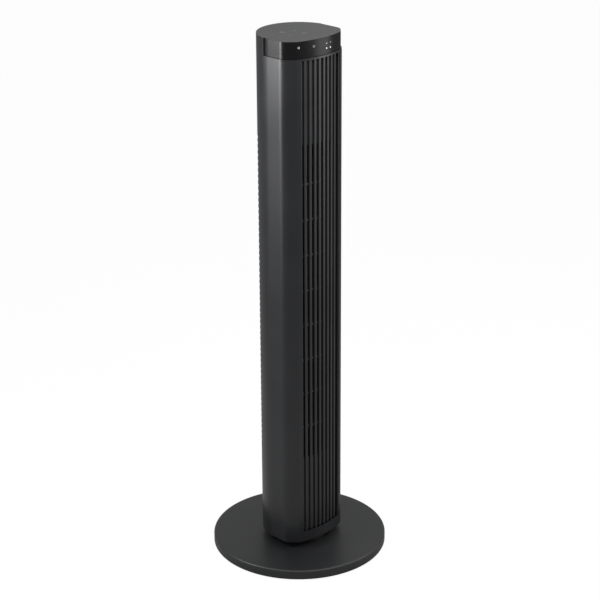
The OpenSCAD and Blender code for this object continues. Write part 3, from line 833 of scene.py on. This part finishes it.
def dress_frame_nodes():
    """Every CAD node that stays gets the finish of its slot."""
    finishes = {
        "base_plastic": BASE, "housing_plastic": HOUSING, "display_gloss": BAND,
        "top_satin": TOP, "duct_plastic": DUCT_GREY_PAINTED_FILL, "rubber": RUBBER, "steel": STEEL,
        # The duct finish carries painted fill light for the recesses behind the grille
        "gear_plastic": ACETAL, "circuit_board": BOARD, "components": PARTS,
        "winding": COPPER, "bronze": BRONZE, "hub_metal": ALUMINIUM,
    }
    for part in frame["record"]["subparts"]:
        node = frame["nodes"].get(part["node"])
        if node is None:
            continue
        for slot in node.material_slots:
            slot.material = finishes[part["material_slot"]]


# ------------------------------------------------------------------ stage, light and camera

# Degrees by which the fan's front is turned from the camera
CAMERA_TURN = 45


def seen_and_felt(nodes, links, seen, felt, fac):
    """Mixes two shaders: what the camera sees, in the share fac, and what lights the object."""
    path = nodes.new("ShaderNodeLightPath")
    share = nodes.new("ShaderNodeMath")
    share.operation = "MULTIPLY"
    share.inputs[1].default_value = fac
    links.new(path.outputs["Is Camera Ray"], share.inputs[0])
    mix = nodes.new("ShaderNodeMixShader")
    links.new(share.outputs["Value"], mix.inputs["Fac"])
    links.new(felt, mix.inputs[1])
    links.new(seen, mix.inputs[2])
    return mix.outputs["Shader"]


def stage():
    """Plain white floor, as even as paper to the camera, with a faint shadow."""
    size, albedo, paper_strength, paper_share = 30.0, 0.4, 1.1, 0.86
    floor = make("floor", [(-size, -size, 0), (size, -size, 0), (size, size, 0), (-size, size, 0)],
                 [[0, 1, 2, 3]])
    material, nodes, links = node_material("floor_white")
    shader = nodes["Principled BSDF"]
    shader.inputs["Base Color"].default_value = (albedo, albedo, albedo, 1)
    shader.inputs["Roughness"].default_value = 0.9
    paper = nodes.new("ShaderNodeEmission")
    paper.inputs["Strength"].default_value = paper_strength
    mixed = seen_and_felt(nodes, links, paper.outputs["Emission"], shader.outputs["BSDF"],
                          paper_share)
    links.new(mixed, nodes["Material Output"].inputs["Surface"])
    floor.data.materials.append(material)


def area_light(name, place, target, size, power):
    data = bpy.data.lights.new(name, "AREA")
    data.shape = "RECTANGLE"
    data.size, data.size_y = size
    data.energy = power
    light = bpy.data.objects.new(name, data)
    light.location = place
    light.rotation_mode = "QUATERNION"
    light.rotation_quaternion = (Vector(target) - Vector(place)).to_track_quat("-Z", "Y")
    bpy.context.scene.collection.objects.link(light)


def lighting():
    """Soft boxes round the fan, two low and seven near its top or above, in a dim white room."""
    scene = bpy.context.scene
    world = bpy.data.worlds.new("studio")
    scene.world = world
    world.use_nodes = True
    nodes, links = world.node_tree.nodes, world.node_tree.links
    room = nodes["Background"]
    room.inputs["Color"].default_value = (1, 1, 1, 1)
    room.inputs["Strength"].default_value = 0.5
    backdrop = nodes.new("ShaderNodeBackground")
    backdrop.inputs["Color"].default_value = (1, 1, 1, 1)
    mixed = seen_and_felt(nodes, links, backdrop.outputs["Background"],
                          room.outputs["Background"], 1.0)
    links.new(mixed, nodes["World Output"].inputs["Surface"])

    def place(angle, distance, height):
        """A spot round the fan; angle in degrees from the camera's side, positive to its right."""
        a = math.radians(angle + CAMERA_TURN)
        return (-math.cos(a) * distance, -math.sin(a) * distance, height)

    chest, waist = (0, 0, 0.8), (0, 0, 0.4)
    area_light("left_key", place(-85, 0.75, 0.88), chest, (0.22, 0.35), 1.1)
    area_light("corner_key", place(-70, 0.75, 0.88), chest, (0.22, 0.35), 5)
    area_light("left_low", place(-75, 1.4, 0.45), waist, (0.6, 0.6), 3)
    area_light("front_high", place(-15, 0.9, 1.6), chest, (0.4, 0.4), 4)
    area_light("front_right", place(35, 0.9, 1.35), chest, (0.5, 0.5), 5)
    area_light("right_near", place(75, 0.8, 0.95), chest, (0.4, 0.4), 1)
    area_light("right_low", place(90, 1.4, 0.45), waist, (0.6, 0.6), 2.5)
    area_light("right", place(90, 1.2, 1.2), chest, (0.9, 0.9), 4)
    area_light("top_back", place(150, 1.2, 1.9), (0, 0, 0.9), (1.0, 0.6), 3)
    scene.view_settings.view_transform = "Standard"
    scene.view_settings.look = "None"


def camera():
    """Long lens, looking down on the fan with its front turned to the right."""
    pitch, roll = math.radians(21.75), math.radians(-0.32)
    turn = math.radians(CAMERA_TURN)
    distance = 3.119
    focus_offset, focus_z = mm(3.2, 454.2)
    forward = Vector((math.sin(turn) * math.cos(pitch), math.cos(turn) * math.cos(pitch),
                      -math.sin(pitch)))
    right = Vector((math.cos(turn), -math.sin(turn), 0))
    up = right.cross(forward)
    target = right * focus_offset + Vector((0, 0, focus_z))
    level_right = right * math.cos(roll) + up * math.sin(roll)
    level_up = -right * math.sin(roll) + up * math.cos(roll)
    data = bpy.data.cameras.new("camera")
    data.lens, data.sensor_width = 111.0, 36.0
    data.clip_end = 60
    lens = bpy.data.objects.new("camera", data)
    axes = Matrix((level_right, level_up, -forward)).transposed()
    lens.matrix_world = Matrix.Translation(target - forward * distance) @ axes.to_4x4()
    bpy.context.scene.collection.objects.link(lens)
    bpy.context.scene.camera = lens


stage()
lighting()
camera()
dress_frame_nodes()
base_disc()
feet()
front_shell()
rear_shell()
screw_bosses()
front_ribs()
outlet_bars()
rear_louvres()
display_band()
top_plate()
display_marks()
touch_marks()
